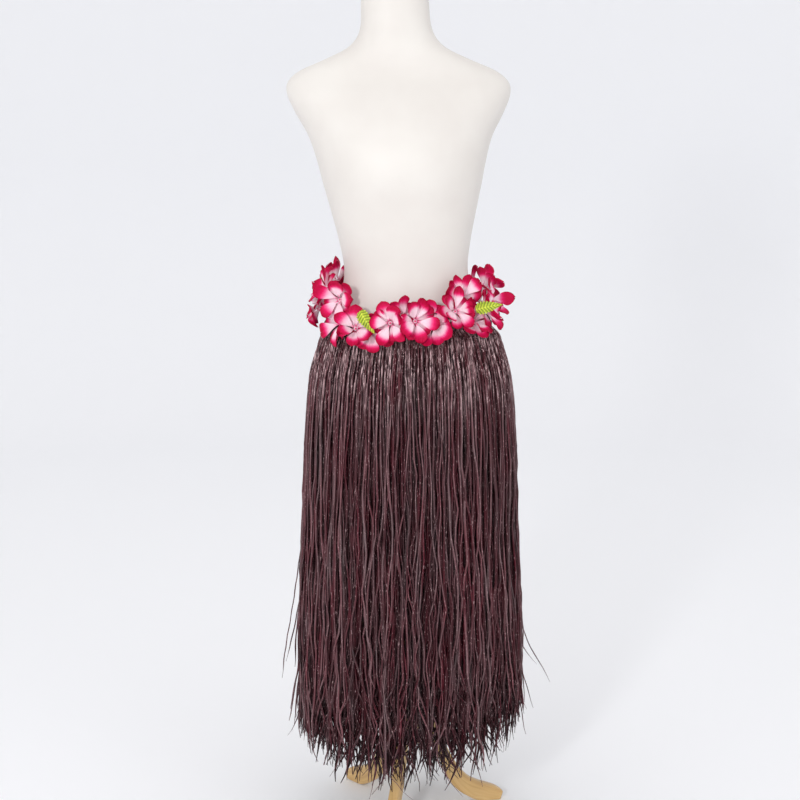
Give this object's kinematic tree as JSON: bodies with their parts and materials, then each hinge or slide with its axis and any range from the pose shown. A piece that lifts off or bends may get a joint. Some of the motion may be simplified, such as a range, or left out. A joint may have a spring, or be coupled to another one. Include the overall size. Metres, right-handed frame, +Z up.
{
  "type": "hula skirt with a flower belt on a limbless dress form",
  "caption": "Full skirt of loose hanging strands on a waistband, with a flower belt at the hips, worn on a plain limbless form on a tripod.",
  "frame": {"origin": "on the floor under the middle of the stand, on the axis of its post", "axes": "+Z up, -Y towards the front of the skirt, +X to the right as seen from the front"},
  "size_m": [0.477, 0.3773, 1.4473],
  "materials": {
    "raffia": "dark brown dyed raffia strands, glinting, crinkled near the waist",
    "band": "plaited dark brown raffia",
    "petal": "printed cloth petals, white in the middle and hot pink to crimson at the rim",
    "leaf": "ribbed yellow-green cloth",
    "cord": "twisted white cotton cord",
    "form": "smooth white, faintly glossy",
    "wood": "clear varnished pale wood"
  },
  "bodies": {
    "root": {"stand_plate": "wood", "stand_post": "wood", "stand_hub": "wood", "leg_front": "wood", "leg_right": "wood", "leg_back": "wood", "form_torso": "form", "form_neck_cap": "form", "skirt_waistband": "band", "skirt_panel_01": "raffia", "skirt_panel_02": "raffia", "skirt_panel_03": "raffia", "skirt_panel_04": "raffia", "skirt_panel_05": "raffia", "skirt_panel_06": "raffia", "skirt_panel_07": "raffia", "skirt_panel_08": "raffia", "skirt_panel_09": "raffia", "skirt_panel_10": "raffia", "skirt_panel_11": "raffia", "skirt_panel_12": "raffia", "belt_cord": "cord", "skirt_tie": "band", "belt_leaf_01": "leaf", "belt_leaf_02": "leaf", "belt_leaf_03": "leaf", "belt_leaf_04": "leaf", "belt_leaf_05": "leaf", "belt_leaf_06": "leaf", "belt_flower_01": "petal", "belt_flower_02": "petal", "belt_flower_03": "petal", "belt_flower_04": "petal", "belt_flower_05": "petal", "belt_flower_06": "petal", "belt_flower_07": "petal", "belt_flower_08": "petal", "belt_flower_09": "petal", "belt_flower_10": "petal", "belt_flower_11": "petal", "belt_flower_12": "petal", "belt_flower_13": "petal", "belt_flower_14": "petal", "belt_flower_15": "petal", "belt_flower_16": "petal", "belt_flower_17": "petal", "belt_flower_18": "petal", "belt_flower_19": "petal", "belt_flower_20": "petal", "belt_flower_21": "petal", "belt_flower_22": "petal", "belt_flower_23": "petal", "belt_flower_24": "petal", "belt_flower_25": "petal", "belt_flower_26": "petal", "belt_flower_27": "petal"}
  },
  "joints": []
}
